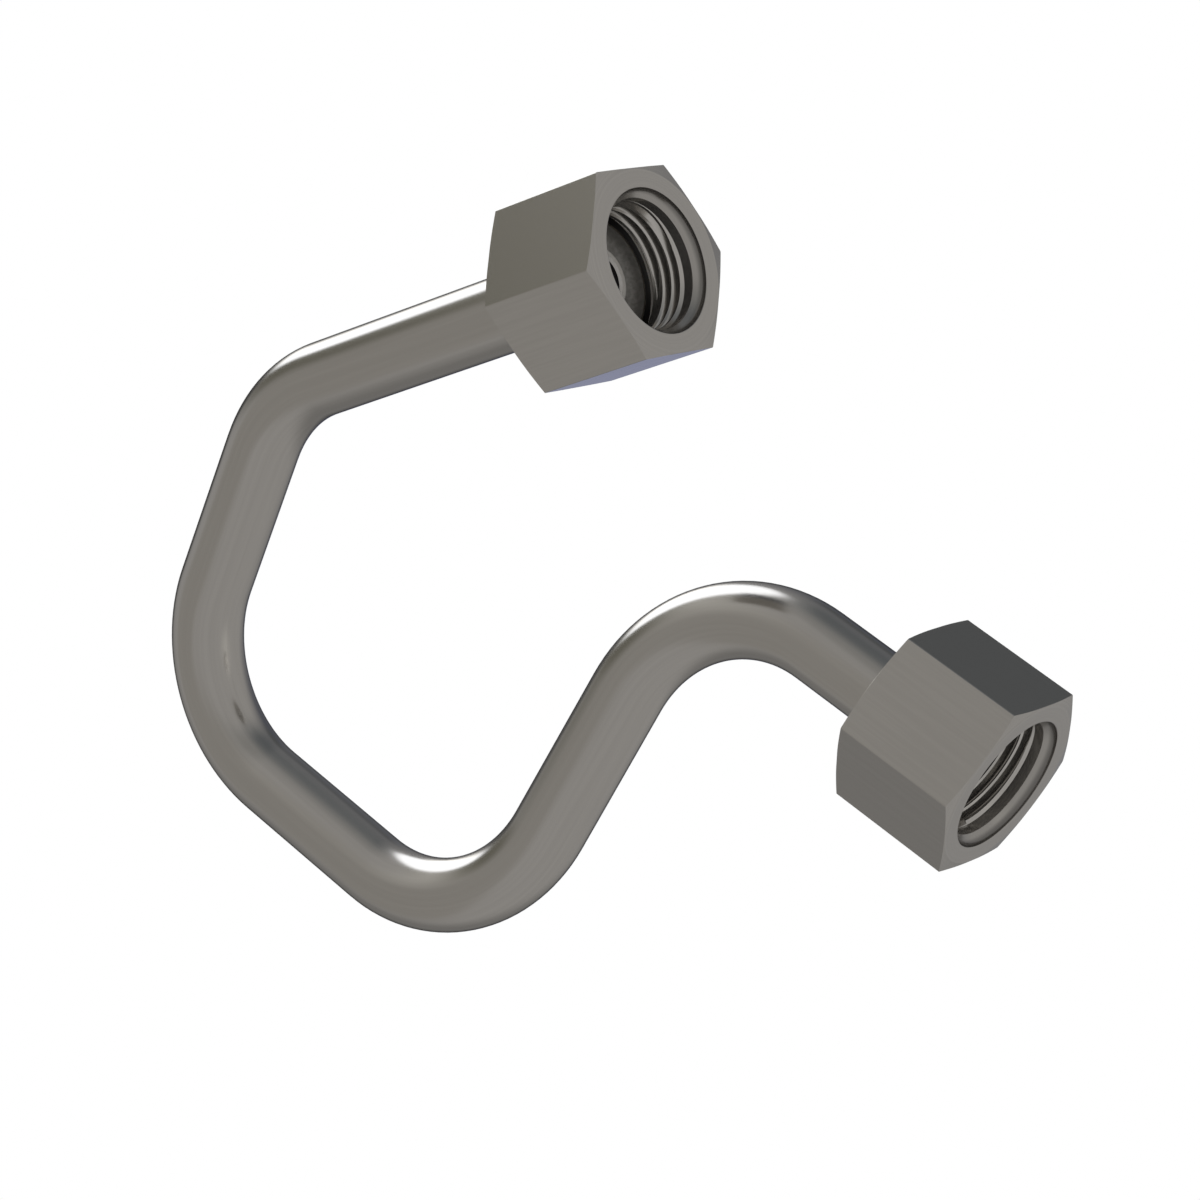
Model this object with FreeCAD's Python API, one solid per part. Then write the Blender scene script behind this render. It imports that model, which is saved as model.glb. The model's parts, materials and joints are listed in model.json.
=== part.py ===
import FreeCAD, Part
import math
import os

from FreeCAD import Vector

# A bent steel fuel line with a captive union nut on each end. Millimetres, +Z up.
# The line lies on a flat surface: the leg between bends one and two and the lowest corner
# of each nut touch it. The origin is under the middle of the line, on that surface, and
# X runs along the second leg as seen from above.

# Driving dimensions: tube
tubeDiameter = 10.3
tubeBore = 6.8
bendRadius = 20.85       # centreline radius, the same at all four bends
firstBend = 45.0         # turn at bend one, degrees; the other three are square
legTwist = 13.3          # turn of the plane of bends three and four, degrees

# Legs are measured between the points where the straight centrelines would cross
longEndLeg = 69.1        # face of the nut on the long leg to bend one
firstLeg = 51.9          # bend one to bend two
secondLeg = 63.4         # bend two to bend three
thirdLeg = 64.0          # bend three to bend four
shortEndLeg = 52.65      # bend four to the face of the nut on the short leg

# Driving dimensions: formed head on each tube end
tipDepth = 9.15          # nut face to the tip of the nose
tipDiameter = 8.65       # flat ring round the bore
noseAngle = 60.0         # included angle of the sealing cone
headDiameter = 16.2      # passes through the nut's thread
dishRadius = 2.2         # hollow between the nose and the head's rim
rimWidth = 0.25
collarLength = 2.8       # straight side of the head
shoulderAngle = 90.0     # included angle of the head's back and of its seat in the nut
boreEdge = 0.3           # edge broken at the mouth of the bore

# Driving dimensions: union nut
nutAcrossFlats = 24.0
nutLength = 18.0
hexChamferDrop = 0.4     # end face to the hexagon's corner
faceDiameter = 23.6      # flat ring of each end face
threadMajor = 18.0
threadPitch = 1.5
threadStart = 3.35       # nut face to the first turn
threadEnd = 7.9          # nut face to the relief behind the thread
mouthDiameter = 18.9
mouthEdge = 0.12         # rounding between face and mouth
mouthWall = 0.25         # nut face to the hollow at the foot of the mouth
mouthHollow = 1.0        # radius of that hollow, an eighth of a circle
entryDiameter = 17.1     # plain entry in front of the thread
entryDepth = 1.55
entryStep = 0.4          # cone from the plain entry down to the thread
runningGap = 0.3         # nut to tube and nut to head

# A metric thread stands 5/8 of its sharp 60 degree triangle deep
threadDepth = 5 / 8 * threadPitch * math.cos(math.radians(30))

# Derived sizes
cornerRadius = nutAcrossFlats / math.sqrt(3)
minorRadius = threadMajor / 2 - threadDepth
holeRadius = tubeDiameter / 2 + runningGap
shoulderSlope = math.tan(math.radians(shoulderAngle / 2))

up = Vector(0, 0, 1)
zero = Vector(0, 0, 0)
overrun = 1.0            # how far a cutter stands out of what it cuts
levelSteps = 8           # the resting plane settles in three or four


def turned(outline):
    # A solid turned about Z from its outline: each step is a corner (radius, height),
    # or an arc given as (middle radius, middle height, end radius, end height)
    corners = [Vector(step[-2], 0, step[-1]) for step in outline]
    edges = []
    for step, start, end in zip(outline[1:], corners, corners[1:]):
        if len(step) == 4:
            edges.append(Part.Arc(start, Vector(step[0], 0, step[1]), end).toShape())
        else:
            edges.append(Part.makeLine(start, end))
    edges.append(Part.makeLine(corners[-1], corners[0]))
    return Part.Face(Part.Wire(edges)).revolve(zero, up, 360)


def placeAt(shape, point, axis):
    # Points a piece that was drawn along Z along an axis of the bent line. Its X, where the
    # nut has a corner, stands square to the plane of the first two bends.
    placed = shape.copy()
    placed.Placement = FreeCAD.Placement(point, FreeCAD.Rotation(up, zero, axis, "ZXY"))
    return placed


def lineCorners():
    # Corners of the centreline from nut face to nut face. Bend two is at zero, the second
    # leg runs along X and the first leg along Y.
    turn = math.radians(90 - firstBend)
    twist = math.radians(legTwist)
    longAxis = Vector(math.cos(turn), math.sin(turn), 0)
    shortAxis = Vector(1, 0, 0)
    bendOne = Vector(0, firstLeg, 0)
    bendThree = Vector(secondLeg, 0, 0)
    bendFour = bendThree + Vector(0, math.cos(twist), -math.sin(twist)) * thirdLeg
    longFace = bendOne + longAxis * longEndLeg
    shortFace = bendFour + shortAxis * shortEndLeg
    return [longFace, bendOne, zero, bendThree, bendFour, shortFace], longAxis, shortAxis


def centreline(corners):
    # Straight runs joined by tangent arcs, from tip to tip
    def stepFrom(point, towards, distance):
        return point + (towards - point).normalize() * distance

    here = stepFrom(corners[0], corners[1], tipDepth)
    last = stepFrom(corners[-1], corners[-2], tipDepth)
    edges = []
    for before, corner, after in zip(corners, corners[1:], corners[2:]):
        back = (before - corner).normalize()
        ahead = (after - corner).normalize()
        halfTurn = (math.pi - back.getAngle(ahead)) / 2
        setback = bendRadius * math.tan(halfTurn)
        inward = (back + ahead).normalize()
        arcStart = corner + back * setback
        arcMiddle = corner + inward * (bendRadius / math.cos(halfTurn) - bendRadius)
        arcEnd = corner + ahead * setback
        edges.append(Part.makeLine(here, arcStart))
        edges.append(Part.Arc(arcStart, arcMiddle, arcEnd).toShape())
        here = arcEnd
    edges.append(Part.makeLine(here, last))
    return Part.Wire(edges)


def rod(path, diameter):
    first = path.Edges[0]
    start = first.valueAt(first.FirstParameter)
    along = first.tangentAt(first.FirstParameter)
    section = Part.Wire(Part.Circle(start, along, diameter / 2).toShape())
    return path.makePipeShell([section], True, False)


def head():
    # Formed tube end, tip at zero and tube down -Z: a coned nose in a hollow, inside a rim
    # that is level with the tip, and a coned back that seats in the nut
    tip = tipDiameter / 2
    rim = headDiameter / 2
    hollowTop = rim - rimWidth
    hollowFoot = hollowTop - dishRadius
    diagonal = dishRadius * math.sqrt(0.5)
    noseFoot = tip + dishRadius * math.tan(math.radians(noseAngle / 2))
    neck = tubeDiameter / 2
    backEnd = -collarLength - (rim - neck) / shoulderSlope
    return turned([(0, 0), (tip, 0), (noseFoot, -dishRadius), (hollowFoot, -dishRadius),
                   (hollowFoot + diagonal, -diagonal, hollowTop, 0), (rim, 0),
                   (rim, -collarLength), (neck, backEnd), (0, backEnd)])


def boreMouth():
    # Cutter for the broken edge at the mouth of the bore
    wall = tubeBore / 2
    return turned([(0, boreEdge), (wall + 2 * boreEdge, boreEdge), (wall, -boreEdge),
                   (0, -boreEdge)])


def tube(corners, ends):
    path = centreline(corners)
    tips = [(face - axis * tipDepth, axis) for face, axis in ends]
    body = rod(path, tubeDiameter).fuse([placeAt(head(), tip, axis) for tip, axis in tips])
    cutters = [placeAt(boreMouth(), tip, axis) for tip, axis in tips]
    return body.cut([rod(path, tubeBore)] + cutters)


def nutBlank():
    # Hexagon with its corners turned down at both ends, face at zero and body down -Z
    corners = [Vector(cornerRadius * math.cos(i * math.pi / 3),
                      cornerRadius * math.sin(i * math.pi / 3), 0) for i in range(7)]
    prism = Part.Face(Part.makePolygon(corners)).extrude(up * -nutLength)
    # The cones start at the flat face ring and meet the corners at hexChamferDrop, half way
    # down to the turned envelope's own edge
    faceRadius = faceDiameter / 2
    outside = 2 * cornerRadius - faceRadius
    drop = 2 * hexChamferDrop
    return prism.common(turned([(0, 0), (faceRadius, 0), (outside, -drop),
                                (outside, drop - nutLength), (faceRadius, -nutLength),
                                (0, -nutLength)]))


def nutBore():
    # All that is cut out of the nut, from its mouth to the hole for the tube. The thread is
    # left at its minor diameter.
    mouth = mouthDiameter / 2
    entry = entryDiameter / 2
    relief = threadMajor / 2
    rim = headDiameter / 2
    edge = mouthEdge * (1 - math.sqrt(0.5))

    def hollow(angle):
        turn = math.radians(angle)
        return mouth - mouthHollow * (1 - math.cos(turn)), -mouthWall - mouthHollow * math.sin(turn)

    seat = tipDepth + collarLength + runningGap / math.sin(math.radians(shoulderAngle / 2))
    seatTop = seat - (relief - rim) / shoulderSlope
    seatFoot = seat + (rim - holeRadius) / shoulderSlope
    return turned([(0, overrun), (mouth + mouthEdge, overrun), (mouth + mouthEdge, 0),
                   (mouth + edge, -edge, mouth, -mouthEdge), (mouth, -mouthWall),
                   hollow(22.5) + hollow(45),
                   (entry, -entryDepth), (entry, -threadStart + entryStep),
                   (minorRadius, -threadStart), (minorRadius, -threadEnd),
                   (relief, -threadEnd - (relief - minorRadius)), (relief, -seatTop),
                   (holeRadius, -seatFoot), (holeRadius, runningGap - nutLength),
                   (holeRadius + runningGap, -nutLength),
                   (holeRadius + runningGap, -nutLength - overrun),
                   (0, -nutLength - overrun)])


def layDown(corners, ends):
    # Turns the bent line so that the first leg and the lowest corner of each nut touch a
    # level surface, with X along the second leg as seen from above
    nutFeet = [face - axis * (nutLength - hexChamferDrop) - up * cornerRadius
               for face, axis in ends]
    legEnd = corners[1] - Vector(0, bendRadius * math.tan(math.radians(firstBend / 2)), 0)
    level = up
    for _ in range(levelSteps):
        legFoot = legEnd - level * (tubeDiameter / 2)
        level = (nutFeet[1] - legFoot).cross(nutFeet[0] - legFoot).normalize()
    along = (corners[3] - corners[2]).normalize()
    return FreeCAD.Placement(zero, FreeCAD.Rotation(along, zero, level, "ZXY").inverted())


corners, longAxis, shortAxis = lineCorners()
ends = [(corners[0], longAxis), (corners[-1], shortAxis)]
nut = nutBlank().cut(nutBore())
pieces = {
    "tube": tube(corners, ends),
    "long_leg_nut": placeAt(nut, *ends[0]),
    "short_leg_nut": placeAt(nut, *ends[1]),
}

lay = layDown(corners, ends)
for piece in pieces.values():
    piece.Placement = lay.multiply(piece.Placement)
box = Part.makeCompound(list(pieces.values())).optimalBoundingBox(False, False)
lay.Base = Vector(-box.Center.x, -box.Center.y, -box.ZMin)

os.makedirs("parts", exist_ok=True)
for name, piece in pieces.items():
    piece.translate(lay.Base)
    piece.exportStep(f"parts/{name}.step")
    print(name, "volume", round(piece.Volume, 1), "solids", len(piece.Solids), "valid", piece.isValid())
print("size", round(box.XLength, 2), round(box.YLength, 2), round(box.ZLength, 2))
for (face, axis), name in zip(ends, ("long_leg_nut", "short_leg_nut")):
    print(name, "mouth", lay.multVec(face), "axis", lay.Rotation.multVec(axis))
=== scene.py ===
import bpy
import json
import math
from mathutils import Matrix, Vector


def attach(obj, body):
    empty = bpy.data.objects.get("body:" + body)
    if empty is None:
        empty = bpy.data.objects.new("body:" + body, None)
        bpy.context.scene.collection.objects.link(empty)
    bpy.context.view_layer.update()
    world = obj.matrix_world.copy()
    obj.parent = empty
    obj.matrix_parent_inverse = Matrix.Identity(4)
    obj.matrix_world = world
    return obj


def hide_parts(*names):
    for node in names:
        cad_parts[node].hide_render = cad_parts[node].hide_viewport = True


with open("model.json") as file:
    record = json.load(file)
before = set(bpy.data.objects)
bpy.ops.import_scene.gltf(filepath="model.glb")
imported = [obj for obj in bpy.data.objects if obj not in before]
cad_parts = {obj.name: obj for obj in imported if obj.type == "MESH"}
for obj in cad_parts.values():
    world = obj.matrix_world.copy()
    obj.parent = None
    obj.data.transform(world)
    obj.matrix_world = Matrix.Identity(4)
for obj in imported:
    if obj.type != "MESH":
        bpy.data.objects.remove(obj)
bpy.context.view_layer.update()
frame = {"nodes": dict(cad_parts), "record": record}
mm = 0.001
print("frame loaded:", ", ".join(sorted(frame["nodes"])))

# Each end of the line, from the frame: the tip of its head and the way it points
tips, axes = {}, {}
for mount in frame["record"]["mounts"]:
    leg, _, part = mount["name"].rpartition("_")
    if part == "nose":
        tips[leg] = Vector(mount["pos_m"])
        axes[leg] = Vector(mount["axis"]).normalized()
# Square to the plane of the first two bends: both nuts stand with a corner this way
planeUp = axes["short_leg"].cross(axes["long_leg"]).normalized()


def linear(hexColour):
    # sRGB hex to the linear colour that Blender's sockets take
    values = [int(hexColour[i:i + 2], 16) / 255 for i in (1, 3, 5)]
    return [v / 12.92 if v <= 0.04045 else ((v + 0.055) / 1.055) ** 2.4 for v in values] + [1.0]


def addNode(tree, kind, links=None, inputs=None, **settings):
    # One node: settings are its own options, inputs its socket values, links what feeds it
    node = tree.nodes.new(kind)
    for name, value in settings.items():
        setattr(node, name, value)
    for socket, value in (inputs or {}).items():
        node.inputs[socket].default_value = value
    for socket, feed in (links or {}).items():
        tree.links.new(feed, node.inputs[socket])
    return node


# Sockets of a Mix node that is set to colours, and its result
mixFactor, mixFrom, mixTo, mixResult = 0, 6, 7, 2


def newMaterial(name):
    material = bpy.data.materials.new(name)
    material.use_nodes = True
    material.node_tree.nodes.clear()
    return material, material.node_tree


# Steel. Every surface is bare bright steel, told apart by how it was made, and some also by painted
# light and shade: painted shade in the tube's bore, the head's hollow, the mouth's rim and the nut's
# seat, painted light in the relief.
# Marks run as lines along the bar or tube (width, length in mm) or as rings round the axis
# (width in mm). Real ones are finer than a pixel, so they are drawn as coarse as they show.
finishes = {
    # Tube drawn through a die and then bent: smooth, with a soft sheen and faint lines along it
    "drawn_tube_steel": {"colour": "#A8A49D", "tone": "#A5A19A", "metallic": 1.0, "roughness": 0.2,
                         "edge": (0.68, 0.88, "#606060"),
                         "lines": (0.6, 30.0), "uneven": 0.012, "height": 0.0006},
    # Flat ring at the tube's tip: faced after forming, brighter and less smooth than the rest
    "faced_tip_steel": {"colour": "#DAD6CF", "tone": "#CECAC3", "metallic": 0.3,
                        "roughness": 0.35, "rings": 0.3, "uneven": 0.04, "height": 0.001},
    # Bore of the tube: the same drawing, not polished, and painted near black as the shade inside
    # the bore
    "drawn_bore_painted_shade_steel": {"colour": "#2A2826", "tone": "#22201E", "metallic": 0.6,
                         "roughness": 0.45, "lines": (0.5, 12.0), "uneven": 0.05,
                         "height": 0.002},
    # Hollow of the pressed head: dull, and painted dark grey as the shade in the hollow
    "formed_head_painted_shade_steel": {"colour": "#8A8781", "tone": "#7C7973", "metallic": 0.4,
                          "roughness": 0.5, "lines": (0.5, 0.5), "uneven": 0.06, "height": 0.004},
    # Flats of cold drawn hexagon bar: faint lines along the bar
    "drawn_hexagon_bar_steel": {"colour": "#A9A59E", "tone": "#A6A29B", "metallic": 1.0,
                                "roughness": 0.2, "lines": (0.5, 14.0), "uneven": 0.015,
                                "height": 0.0006},
    # Faces cut on a lathe: faint rings round the axis
    "turned_steel": {"colour": "#A9A59E", "tone": "#A6A29B", "metallic": 1.0, "roughness": 0.2,
                     "rings": 0.35, "uneven": 0.02, "height": 0.0008},
    # Thread and plain entry, cut bright
    "threaded_steel": {"colour": "#BEBAB3", "tone": "#B6B2AB", "metallic": 0.87,
                       "roughness": 0.2, "rings": 0.3, "uneven": 0.02, "height": 0.0002},
    # Countersunk mouth, cut with a broad tool; its darker rim is painted shade just inside the face
    "countersunk_steel": {"colour": "#A09C95", "rim": (8.9, 9.4, "#75726D"), "metallic": 0.8,
                          "roughness": 0.2, "rings": 0.3, "uneven": 0.03, "height": 0.001},
    # Relief behind the thread: dull from its rough cut, and painted near white as light in a recess
    # that lies in shade
    "undercut_painted_light_steel": {"colour": "#E6E2DB", "tone": "#D8D4CD", "metallic": 0.0,
                       "roughness": 0.35, "rings": 0.25, "uneven": 0.06, "height": 0.003},
    # Seat for the head and hole for the tube, painted near black as the shade deep inside the nut
    "seat_painted_shade_steel": {"colour": "#2E2C2A", "tone": "#262422", "metallic": 0.6, "roughness": 0.4,
                   "rings": 0.3, "uneven": 0.05, "height": 0.002},
}
# Steel that is seen at a slant gives back a little less
slantedTint = "#E6E6E6"
# How the marks' noise is read: the part of its range that roughness and tone follow, its finer
# layers, and how much rings follow depth against radius, so that they show in bores too
marking = {"roughFrom": 0.3, "roughTo": 0.7, "toneFrom": 0.35, "toneTo": 0.65, "layers": 2.0,
           "depthShare": -0.6}


def toolMarks(tree, finish, made, radius):
    # Noise that runs as the marks of the tool do
    if "lines" in finish:
        width, length = finish["lines"]
        stretched = addNode(tree, "ShaderNodeVectorMath", {0: made},
                            {1: (1 / width, 1 / width, 1 / length)}, operation="MULTIPLY")
        marks = addNode(tree, "ShaderNodeTexNoise", {"Vector": stretched.outputs["Vector"]},
                        {"Scale": 1.0, "Detail": marking["layers"]})
    else:
        # the feed runs outwards over a face and down a bore
        height = addNode(tree, "ShaderNodeSeparateXYZ", {0: made}).outputs["Z"]
        feed = addNode(tree, "ShaderNodeMath", {0: height, 2: radius}, {1: marking["depthShare"]},
                       operation="MULTIPLY_ADD")
        marks = addNode(tree, "ShaderNodeTexNoise", {"W": feed.outputs[0]},
                        {"Scale": 1 / finish["rings"], "Detail": marking["layers"]},
                        noise_dimensions="1D")
    return marks.outputs["Fac"]


def darkenEdge(tree, finish, shader):
    # Darker where the round surface turns out of sight
    start, end, edgeTint = finish["edge"]
    turnedAway = addNode(tree, "ShaderNodeLayerWeight", inputs={"Blend": 0.5})
    share = addNode(tree, "ShaderNodeMapRange", {"Value": turnedAway.outputs["Facing"]},
                    {"From Min": start, "From Max": end})
    tint = addNode(tree, "ShaderNodeMix", {mixFactor: share.outputs["Result"]},
                   {mixFrom: linear(slantedTint), mixTo: linear(edgeTint)}, data_type="RGBA")
    tree.links.new(tint.outputs[mixResult], shader.inputs["Specular Tint"])


def steel(name):
    # Patterns read "made", which each piece keeps at its points: its own place in mm with the
    # axis along Z
    finish = finishes[name]
    material, tree = newMaterial(name)
    shader = addNode(tree, "ShaderNodeBsdfPrincipled", inputs={
        "Metallic": finish["metallic"], "Specular Tint": linear(slantedTint)})
    made = addNode(tree, "ShaderNodeAttribute", attribute_name="made").outputs["Vector"]
    across = addNode(tree, "ShaderNodeVectorMath", {0: made}, {1: (1, 1, 0)}, operation="MULTIPLY")
    radius = addNode(tree, "ShaderNodeVectorMath", {0: across.outputs["Vector"]},
                     operation="LENGTH").outputs["Value"]
    mark = toolMarks(tree, finish, made, radius)
    rough = addNode(tree, "ShaderNodeMapRange", {"Value": mark}, {
        "From Min": marking["roughFrom"], "From Max": marking["roughTo"],
        "To Min": finish["roughness"] - finish["uneven"],
        "To Max": finish["roughness"] + finish["uneven"]})
    tree.links.new(rough.outputs["Result"], shader.inputs["Roughness"])
    relief = addNode(tree, "ShaderNodeBump", {"Height": mark},
                     {"Strength": 1.0, "Distance": finish["height"] * mm})
    tree.links.new(relief.outputs["Normal"], shader.inputs["Normal"])
    if "edge" in finish:
        darkenEdge(tree, finish, shader)
    if "rim" in finish:
        # painted shade: darker towards the rim, by the distance from the nut's own axis
        inner, outer, second = finish["rim"]
        near = addNode(tree, "ShaderNodeMapRange", {"Value": radius},
                       {"From Min": inner, "From Max": outer}, interpolation_type="SMOOTHSTEP")
    else:
        second = finish["tone"]
        near = addNode(tree, "ShaderNodeMapRange", {"Value": mark},
                       {"From Min": marking["toneFrom"], "From Max": marking["toneTo"]})
    colour = addNode(tree, "ShaderNodeMix", {mixFactor: near.outputs["Result"]},
                     {mixFrom: linear(finish["colour"]), mixTo: linear(second)}, data_type="RGBA")
    tree.links.new(colour.outputs[mixResult], shader.inputs["Base Color"])
    addNode(tree, "ShaderNodeOutputMaterial", {"Surface": shader.outputs[0]})
    return material


def finishFaces(piece, names, finishAt):
    # Gives a piece its finishes, and each face the one that its place asks for
    for name in names:
        piece.data.materials.append(steel(name))
    for face in piece.data.polygons:
        face.material_index = names.index(finishAt(piece, face))


# Modelling
def startRing(name, sides, radius, centre, axis):
    # A new piece starts as one ring of points round an axis, in edit mode and selected
    bpy.ops.object.select_all(action="DESELECT")
    bpy.ops.mesh.primitive_circle_add(vertices=sides, radius=radius, location=centre,
                                      rotation=axis.to_track_quat("Z", "Y").to_euler())
    bpy.ops.object.transform_apply()
    piece = bpy.context.object
    piece.name = piece.data.name = name
    bpy.ops.object.mode_set(mode="EDIT")
    bpy.ops.mesh.select_all(action="SELECT")
    return piece


def drawRing(centre, newCentre, ratio=1.0):
    # Draws the selected ring on to a new centre and size
    bpy.ops.mesh.extrude_region_move(TRANSFORM_OT_translate={"value": newCentre - centre})
    if not math.isclose(ratio, 1.0):
        bpy.ops.transform.resize(value=(ratio, ratio, ratio), center_override=newCentre)


def drawRings(foot, axis, outline):
    # Draws the selected ring along a turned outline of (radius, height) steps in mm
    for (radius, height), (newRadius, newHeight) in zip(outline, outline[1:]):
        drawRing(foot + axis * (height * mm), foot + axis * (newHeight * mm), newRadius / radius)


def roundStretch(centre, radius, start, end, steps):
    # Steps of a round stretch in a turned outline: angles in degrees from the radius up
    turns = [math.radians(start + (end - start) * i / steps) for i in range(steps + 1)]
    return [(centre[0] + radius * math.cos(turn), centre[1] + radius * math.sin(turn))
            for turn in turns]


def closeShell(piece):
    # Points closer than a micrometre merged, faces outwards, back to object mode
    bpy.ops.mesh.select_all(action="SELECT")
    bpy.ops.mesh.remove_doubles(threshold=0.001 * mm)
    bpy.ops.mesh.normals_make_consistent(inside=False)
    bpy.ops.object.mode_set(mode="OBJECT")
    return piece


def smoothUpTo(piece, angle):
    bpy.ops.object.select_all(action="DESELECT")
    piece.select_set(True)
    bpy.context.view_layer.objects.active = piece
    bpy.ops.object.shade_smooth_by_angle(angle=math.radians(angle))


# Tube with its two formed heads, one closed skin: out of the bore at one tip, round the
# head, along the outside, round the other head and back through the bore. Here and for the
# nut, sizes are in mm and those of round forms are radii.
tubeSize = {
    "radius": 5.15, "bore": 3.4,
    "bendRadius": 20.85, "degreesPerStep": 3.0, "sides": 72,
    # Legs between the points where straight centrelines cross; an end leg ends at its tip
    "longEndLeg": 59.95, "firstLeg": 51.9, "secondLeg": 63.4, "shortEndLeg": 43.5,
    # Head, from its tip
    "boreEdge": 0.3, "tip": 4.325, "nose": 5.595, "dish": 2.2, "dishSteps": 10, "rim": 8.1,
    "rimWidth": 0.25, "collar": 2.8,
    # Edges sharper than this many degrees stay sharp; places are told apart to this many mm
    "sharp": 30.0, "slack": 0.1,
}
tubeFinishes = ("drawn_tube_steel", "formed_head_painted_shade_steel", "drawn_bore_painted_shade_steel", "faced_tip_steel")


def headOutline():
    # From the bore's mouth over nose, hollow, rim and collar to the tube
    size = tubeSize
    hollow = size["rim"] - size["rimWidth"] - size["dish"]
    back = size["collar"] + size["rim"] - size["radius"]
    return ([(size["bore"], -size["boreEdge"]), (size["bore"] + size["boreEdge"], 0),
             (size["tip"], 0), (size["nose"], -size["dish"])]
            + roundStretch((hollow, 0), size["dish"], -90, 0, size["dishSteps"])
            + [(size["rim"], 0), (size["rim"], -size["collar"]), (size["radius"], -back)])


def bendCorners():
    # Where the straight centrelines cross, from the long leg to the short one
    size = tubeSize
    across = axes["short_leg"]
    along = planeUp.cross(across)
    one = tips["long_leg"] - axes["long_leg"] * (size["longEndLeg"] * mm)
    two = one - along * (size["firstLeg"] * mm)
    three = two + across * (size["secondLeg"] * mm)
    four = tips["short_leg"] - across * (size["shortEndLeg"] * mm)
    return [one, two, three, four]


def drawRoute(stops):
    # Draws the selected ring down straight legs and round the bend at each corner
    radius = tubeSize["bendRadius"] * mm
    here = stops[0]
    for before, corner, after in zip(stops, stops[1:], stops[2:]):
        back, ahead = (before - corner).normalized(), (after - corner).normalized()
        turn = math.pi - back.angle(ahead)
        setback = radius * math.tan(turn / 2)
        drawRing(here, corner + back * setback)
        bendCentre = corner + (back + ahead).normalized() * (radius / math.cos(turn / 2))
        bpy.ops.mesh.spin(steps=round(math.degrees(turn) / tubeSize["degreesPerStep"]),
                          angle=-turn, center=bendCentre, axis=ahead.cross(back))
        here = corner + ahead * setback
    drawRing(here, stops[-1])


def keepRoute(piece):
    # Each point keeps its place on the straight tube before it was bent, in mm: the rings
    # follow each other in the order they were drawn
    sides = tubeSize["sides"]
    points = piece.data.vertices
    made = piece.data.attributes.new("made", "FLOAT_VECTOR", "POINT").data
    along, last = 0.0, None
    for first in range(0, len(points), sides):
        ring = points[first:first + sides]
        centre = sum((point.co for point in ring), Vector()) / sides
        along += (centre - last).length / mm if last else 0.0
        last = centre
        radius = (ring[0].co - centre).length / mm
        for place, point in enumerate(ring):
            turn = 2 * math.pi * place / sides
            made[point.index].vector = (radius * math.cos(turn), radius * math.sin(turn), along)


def tubeFinish(piece, face):
    # Bore by where its points were before bending, the rest by its place at a tip
    size = tubeSize
    made = piece.data.attributes["made"].data
    if max(made[index].vector.xy.length for index in face.vertices) < size["bore"] + size["slack"]:
        return "drawn_bore_painted_shade_steel"
    for leg, tip in tips.items():
        place = (face.center - tip) / mm
        depth = -place.dot(axes[leg])
        radius = (place + axes[leg] * depth).length
        inDish = 0 < depth < size["dish"] + size["slack"]
        if inDish and size["tip"] < radius < size["rim"] - size["rimWidth"]:
            return "formed_head_painted_shade_steel"
        if abs(depth) < size["boreEdge"] and size["bore"] < radius < size["tip"]:
            return "faced_tip_steel"
    return "drawn_tube_steel"


def buildTube():
    outline = headOutline()
    mouth, back = outline[0][1] * mm, outline[-1][1] * mm
    long, short = axes["long_leg"], axes["short_leg"]
    corners = bendCorners()
    piece = startRing("fuel_tube", tubeSize["sides"], tubeSize["bore"] * mm,
                      tips["long_leg"] + long * mouth, long)
    drawRings(tips["long_leg"], long, outline)
    drawRoute([tips["long_leg"] + long * back] + corners + [tips["short_leg"] + short * back])
    drawRings(tips["short_leg"], short, outline[::-1])
    drawRoute([tips["short_leg"] + short * mouth] + corners[::-1]
              + [tips["long_leg"] + long * mouth])
    bpy.ops.object.mode_set(mode="OBJECT")
    keepRoute(piece)
    bpy.ops.object.mode_set(mode="EDIT")
    closeShell(piece)
    smoothUpTo(piece, tubeSize["sharp"])
    finishFaces(piece, tubeFinishes, tubeFinish)
    piece.visible_glossy = False
    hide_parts("tube")
    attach(piece, "line")


# Union nut, modelled once with its face at zero and its body down Z, then copied
nutSize = {
    "acrossFlats": 24.0, "length": 18.0, "flatEdge": 0.12, "edgeSteps": 3,
    "faceRadius": 11.8, "cornerDrop": 0.4,
    # Mouth, plain entry and thread, depths from the face
    "mouth": 9.45, "mouthEdge": 0.12, "mouthWall": 0.12, "hollow": 1.2, "hollowSteps": 8,
    "entry": 8.55, "entryDepth": 1.55, "chamferTop": 2.95, "threadTop": 3.35, "threadFoot": 7.9,
    "minor": 8.188, "major": 9.0, "pitch": 1.5,
    # Seat for the head's back and hole for the tube
    "slot": 9.0, "seatTop": 11.474, "seatFoot": 15.024, "hole": 5.45, "holeEdge": 0.3,
    "faceToTip": 9.15,
    # A cutter stands out of the nut by its overrun; faces are told apart to within the slacks
    "sides": 120, "sharp": 8.0, "overrun": 1.0, "slack": 0.01, "bandSlack": 0.2,
}
nutFinishes = ("drawn_hexagon_bar_steel", "turned_steel", "threaded_steel", "countersunk_steel",
               "undercut_painted_light_steel", "seat_painted_shade_steel")
# One groove starts square in the entry and fades out above the relief. Angles are seen from
# outside, from the corner that stands up.
threadRun = {
    "start": 455.0, "startDepth": 2.92, "turns": 2.86, "degreesPerStep": 5.0,
    # Over its last degrees it moves in until it is clear of the bore's wall by this much
    "fade": 40.0, "clear": 0.05,
    # Half section of the groove, with the crest's edge broken: radius and half its width
    "root": (9.0, 0.094), "flank": (8.42, 0.43), "crest": (7.99, 0.86), "inside": (7.7, 0.5),
    # The first turn opens out into the entry between these angles: wider and less deep
    "opening": (190.0, 255.0), "openWidth": 1.9, "openDepth": 0.55,
}


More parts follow.
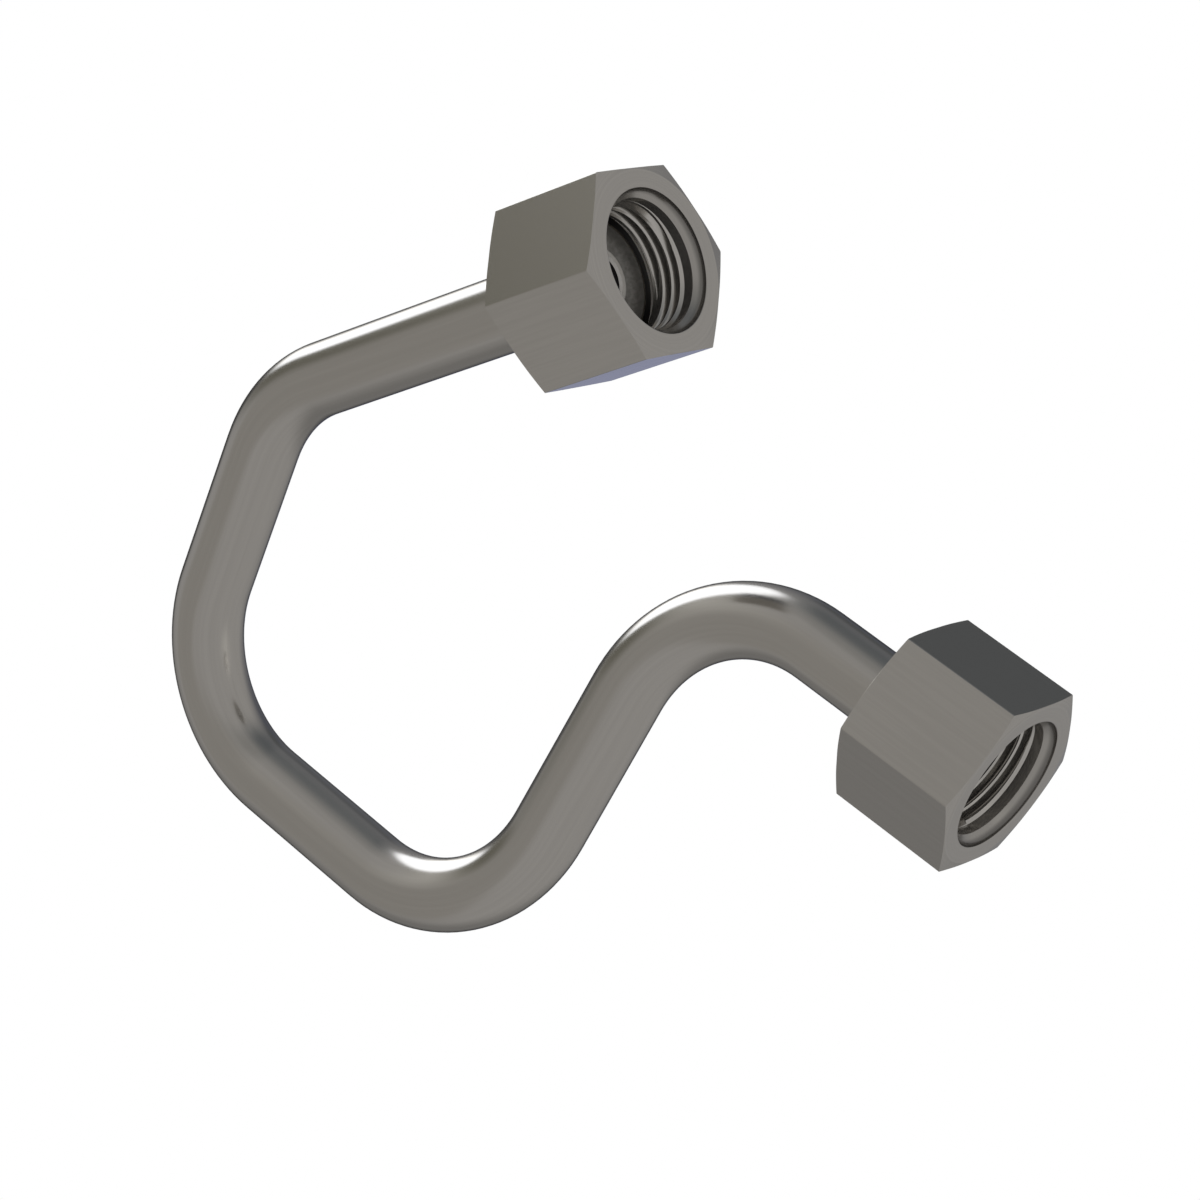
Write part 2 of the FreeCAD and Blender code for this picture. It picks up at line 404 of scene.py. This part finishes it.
def lathe(name, outline):
    # A closed solid turned round Z from (radius, height) steps in mm
    size = nutSize
    piece = startRing(name, size["sides"], outline[0][0] * mm,
                      Vector((0, 0, outline[0][1] * mm)), Vector((0, 0, 1)))
    bpy.ops.mesh.edge_face_add()
    drawRings(Vector((0, 0, 0)), Vector((0, 0, 1)), outline)
    return closeShell(piece)


def carve(piece, tool, operation):
    # Cuts with or keeps what is inside the tool, which is then used up
    modifier = piece.modifiers.new(operation.lower(), "BOOLEAN")
    modifier.operation = operation
    modifier.solver = "MANIFOLD"
    modifier.object = tool
    bpy.ops.object.select_all(action="DESELECT")
    piece.select_set(True)
    bpy.context.view_layer.objects.active = piece
    bpy.ops.object.modifier_apply(modifier=modifier.name)
    bpy.data.objects.remove(tool)


def hexagonBar():
    size = nutSize
    bpy.ops.object.select_all(action="DESELECT")
    bpy.ops.mesh.primitive_cylinder_add(
        vertices=6, radius=size["acrossFlats"] / math.sqrt(3) * mm, depth=size["length"] * mm,
        location=(0, 0, -size["length"] / 2 * mm), rotation=(0, 0, math.radians(30)))
    bpy.ops.object.transform_apply()
    piece = bpy.context.object
    bpy.ops.object.mode_set(mode="EDIT")
    bpy.ops.mesh.select_all(action="SELECT")
    bpy.ops.mesh.bevel(offset=size["flatEdge"] * mm, segments=size["edgeSteps"])
    bpy.ops.object.mode_set(mode="OBJECT")
    return piece


def nutEnvelope():
    # Turned down at both ends, which leaves the curved chamfer on each corner
    size = nutSize
    outside = 2 * size["acrossFlats"] / math.sqrt(3) - size["faceRadius"]
    drop = 2 * size["cornerDrop"]
    return lathe("envelope", [(size["faceRadius"], 0), (outside, -drop),
                              (outside, drop - size["length"]),
                              (size["faceRadius"], -size["length"])])


def boreOutline():
    size = nutSize
    mouth, edge, hollow = size["mouth"], size["mouthEdge"], size["hollow"]
    relief = size["threadFoot"] + size["major"] - size["minor"]
    return ([(mouth + edge, size["overrun"])]
            + roundStretch((mouth + edge, -edge), edge, 90, 180, size["edgeSteps"])
            + roundStretch((mouth - hollow, -size["mouthWall"]), hollow, 0, -45,
                           size["hollowSteps"])
            + [(size["entry"], -size["entryDepth"]), (size["entry"], -size["chamferTop"]),
               (size["minor"], -size["threadTop"]), (size["minor"], -size["threadFoot"]),
               (size["major"], -relief), (size["major"], -size["slot"]),
               (size["major"], -size["seatTop"]),
               (size["hole"], -size["seatFoot"]), (size["hole"], size["holeEdge"] - size["length"]),
               (size["hole"] + size["holeEdge"], -size["length"]),
               (size["hole"] + size["holeEdge"], -size["length"] - size["overrun"])])


def grooveSection(outward):
    # The groove's section as it starts, one closed face of eight corners
    run = threadRun
    half = [run["root"], run["flank"], run["crest"], run["inside"]]
    section = half + [(radius, -width) for radius, width in half[::-1]]
    bpy.ops.object.select_all(action="DESELECT")
    bpy.ops.mesh.primitive_circle_add(vertices=len(section), radius=mm, fill_type="NGON",
                                      rotation=(math.pi / 2, 0, math.radians(run["start"])))
    bpy.ops.object.transform_apply()
    piece = bpy.context.object
    # corners and points are paired by their angle round the section's middle
    middle = (run["crest"][0] + run["inside"][0]) / 2
    section.sort(key=lambda corner: math.atan2(corner[1], corner[0] - middle))
    points = sorted(piece.data.vertices, key=lambda v: math.atan2(v.co.z, v.co.dot(outward)))
    top = Vector((0, 0, -run["startDepth"] * mm))
    for point, (radius, width) in zip(points, section):
        point.co = outward * (radius * mm) + Vector((0, 0, width * mm)) + top
    return piece, len(section)


def openFirstTurn(piece, corners):
    # Between the opening's angles the groove grows wider towards the mouth and less deep
    run = threadRun
    low, high = run["opening"]
    for point in piece.data.vertices:
        angle = run["start"] - point.index // corners * run["degreesPerStep"]
        share = min(max((angle - low) / (high - low), 0), 1)
        fallen = nutSize["pitch"] * (run["start"] - angle) / 360
        foot = -(run["startDepth"] + fallen + run["flank"][1]) * mm
        point.co.z = foot + (point.co.z - foot) * (1 + share * (run["openWidth"] - 1))
        radius = point.co.xy.length
        cut = max(radius - nutSize["minor"] * mm, 0)
        shrink = (radius - cut * share * (1 - run["openDepth"])) / radius
        point.co.x *= shrink
        point.co.y *= shrink


def threadGroove():
    # The section is carried down a right-handed helix, step by step, and fades out of the
    # bore's wall at its end
    run = threadRun
    start, step = math.radians(run["start"]), math.radians(run["degreesPerStep"])
    steps = round(run["turns"] * 360 / run["degreesPerStep"])
    fall = Vector((0, 0, -nutSize["pitch"] * run["degreesPerStep"] / 360 * mm))
    fadeSteps = run["fade"] / run["degreesPerStep"]
    depth = (run["root"][0] - nutSize["minor"] + run["clear"]) * mm
    piece, corners = grooveSection(Vector((math.cos(start), math.sin(start), 0)))

    def fade(index):
        near = min((steps - index) / fadeSteps, 1)
        return -depth * (1 - near * near * (3 - 2 * near))

    bpy.ops.object.mode_set(mode="EDIT")
    bpy.ops.mesh.select_all(action="SELECT")
    for index in range(steps):
        angle = start - step * (index + 1)
        outward = Vector((math.cos(angle), math.sin(angle), 0))
        bpy.ops.mesh.extrude_region_move(TRANSFORM_OT_translate={"value": fall})
        bpy.ops.transform.rotate(value=step, orient_axis="Z", center_override=(0, 0, 0))
        bpy.ops.transform.translate(value=outward * (fade(index + 1) - fade(index)))
    bpy.ops.object.mode_set(mode="OBJECT")
    openFirstTurn(piece, corners)
    bpy.ops.object.mode_set(mode="EDIT")
    return closeShell(piece)


def nutFinish(piece, face):
    # Which face is bar, which is turned and what each stretch of the bore is goes by its place
    size = nutSize
    radius = face.center.xy.length / mm
    depth = -face.center.z / mm
    upright = abs(face.normal.z) < size["slack"]
    if upright and radius > size["acrossFlats"] / 2 - size["bandSlack"]:
        return "drawn_hexagon_bar_steel"
    inDepth = size["slack"] < depth < size["length"] - size["slack"]
    if radius > size["mouth"] + size["slack"] or not inDepth:
        return "turned_steel"
    if depth < size["entryDepth"]:
        return "countersunk_steel"
    if depth < size["threadFoot"] + size["bandSlack"]:
        return "threaded_steel"
    if depth < size["slot"]:
        return "undercut_painted_light_steel"
    return "seat_painted_shade_steel"


def buildNuts():
    nut = hexagonBar()
    nut.name = nut.data.name = "union_nut"
    carve(nut, nutEnvelope(), "INTERSECT")
    carve(nut, lathe("bore", boreOutline()), "DIFFERENCE")
    carve(nut, threadGroove(), "DIFFERENCE")
    print("nut modelled:", len(nut.data.polygons), "faces")
    nut.data.materials.clear()
    finishFaces(nut, nutFinishes, nutFinish)
    # each point keeps where it was modelled, in mm from the middle of the nut's face
    made = nut.data.attributes.new("made", "FLOAT_VECTOR", "POINT")
    for point, value in zip(nut.data.vertices, made.data):
        value.vector = point.co / mm
    smoothUpTo(nut, nutSize["sharp"])
    for leg, body in (("long_leg", "long_nut"), ("short_leg", "short_nut")):
        piece = nut.copy()
        piece.data = nut.data.copy()
        piece.name = piece.data.name = leg + "_union_nut"
        bpy.context.scene.collection.objects.link(piece)
        axis = axes[leg]
        face = tips[leg] + axis * (nutSize["faceToTip"] * mm)
        turn = Matrix((planeUp, axis.cross(planeUp), axis)).transposed()
        piece.data.transform(Matrix.Translation(face) @ turn.to_4x4())
        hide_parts(leg + "_nut")
        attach(piece, body)
    bpy.data.objects.remove(nut)


buildTube()
print("tube modelled")
buildNuts()

# Studio: a pale room with soft cards, seen only in the steel. Each card is given by where
# it stands from the part in degrees, its half width and half height in degrees, how much of
# it is soft edge, its colour and its gain.
studio = {
    "room": "#CCCCCE",
    "cards": {
        "gapBlue": (105, -20, 33, 75, 0.8, "#7C8289", 1.0),
        "sideDark": (-132, -37, 70, 18, 0.6, "#5A5B5E", 1.0),
        "post": (-100, -30, 70, 75, 0.6, "#A2A2A3", 1.0),
        "topRear": (-150, 40, 70, 37, 0.25, "#BCBBBA", 1.0),
        "topSide": (150, 58, 40, 37, 0.9, "#BCBBBA", 1.0),
        "sideGrey": (110, 24, 22, 50, 0.95, "#B3B4B5", 1.0),
        "lineDark": (173, -14, 35, 46, 0.5, "#89887F", 1.0),
        "bumpLeft": (160, 5, 22, 75, 1.0, "#E8E8E7", 1.0),
        "bumpRight": (17, 2, 32, 22, 1.0, "#EAEAEA", 1.0),
        "boxWide": (161, -28, 29, 22, 0.2, "#F0F5FF", 3.4),
        "foot": (113, -80, 47, 75, 0.95, "#6D7280", 1.0),
        "lowBlue": (-112, -58, 18, 16, 0.7, "#A9AECB", 1.0),
        "lowGrey": (110, -63, 15, 12, 0.7, "#6F7377", 1.0),
        "softbox": (178, -38, 16, 19, 0.6, "#FAFCFF", 3.4),
    },
}


def direction(azimuth, elevation):
    turn, tilt = math.radians(azimuth), math.radians(elevation)
    return Vector((math.cos(turn) * math.cos(tilt), math.sin(turn) * math.cos(tilt), math.sin(tilt)))


def buildWorld():
    world = bpy.data.worlds.new("studio")
    world.use_nodes = True
    tree = world.node_tree
    tree.nodes.clear()
    coordinate = addNode(tree, "ShaderNodeTexCoord")
    seen = addNode(tree, "ShaderNodeRGB").outputs[0]
    seen.default_value = linear(studio["room"])
    for azimuth, elevation, halfWidth, halfHeight, soft, hexColour, gain in studio["cards"].values():
        place = addNode(tree, "ShaderNodeMapping", {"Vector": coordinate.outputs["Generated"]}, {
            "Location": direction(azimuth, elevation),
            "Rotation": (0, -math.radians(elevation), math.radians(azimuth)),
            "Scale": (1, math.sin(math.radians(halfWidth)), math.sin(math.radians(halfHeight)))},
            vector_type="TEXTURE")
        shape = addNode(tree, "ShaderNodeTexGradient", {"Vector": place.outputs[0]},
                        gradient_type="SPHERICAL")
        edge = addNode(tree, "ShaderNodeMapRange", {"Value": shape.outputs["Fac"]},
                       {"From Min": 0.0, "From Max": soft}, interpolation_type="SMOOTHSTEP")
        light = [gain * value for value in linear(hexColour)[:3]] + [1.0]
        card = addNode(tree, "ShaderNodeMix", {mixFactor: edge.outputs["Result"], mixFrom: seen},
                       {mixTo: light}, data_type="RGBA", clamp_result=False)
        seen = card.outputs[mixResult]
    background = addNode(tree, "ShaderNodeBackground", {"Color": seen})
    addNode(tree, "ShaderNodeOutputWorld", {"Surface": background.outputs[0]})
    bpy.context.scene.world = world


buildWorld()
print("studio cards set:", len(studio["cards"]))

# Sweep: a white floor that rises into a wall all round. It glows evenly by itself, so no
# horizon shows from any side, and the steel doesn't see it: it mirrors the cards alone.
sweep = {
    "floor": 1600.0, "bend": 600.0, "bendSteps": 8, "height": 2400.0, "sides": 64,
}


def buildSweep():
    size = sweep
    middle, up = Vector((0, 0, 0)), Vector((0, 0, 1))
    floor = startRing("sweep", size["sides"], size["floor"] * mm, middle, up)
    bpy.ops.mesh.edge_face_add()
    wall = roundStretch((size["floor"], size["bend"]), size["bend"], -90, 0, size["bendSteps"])
    drawRings(middle, up, wall + [(size["floor"] + size["bend"], size["height"])])
    bpy.ops.object.mode_set(mode="OBJECT")
    material, tree = newMaterial("white_paper")
    glow = addNode(tree, "ShaderNodeEmission", inputs={"Color": (1, 1, 1, 1), "Strength": 1.0})
    addNode(tree, "ShaderNodeOutputMaterial", {"Surface": glow.outputs[0]})
    floor.data.materials.append(material)
    floor.visible_glossy = False
    floor.visible_diffuse = False
    floor.visible_shadow = False
    floor.visible_transmission = False


buildSweep()
print("sweep modelled")

# Camera, as fitted to the photo: place in metres, turn in degrees
cameraPlace = (0.11868, 0.20290, 0.39379)
cameraTurn = (-18.491, 26.085, 22.146)
cameraLens = 101.92
lens = bpy.data.cameras.new("camera")
lens.lens = cameraLens
lens.sensor_width = 36
lens.clip_start = 0.01
lens.clip_end = 10
camera = bpy.data.objects.new("camera", lens)
camera.location = cameraPlace
camera.rotation_euler = [math.radians(angle) for angle in cameraTurn]
bpy.context.scene.collection.objects.link(camera)
bpy.context.scene.camera = camera
bpy.context.scene.view_settings.view_transform = "Standard"
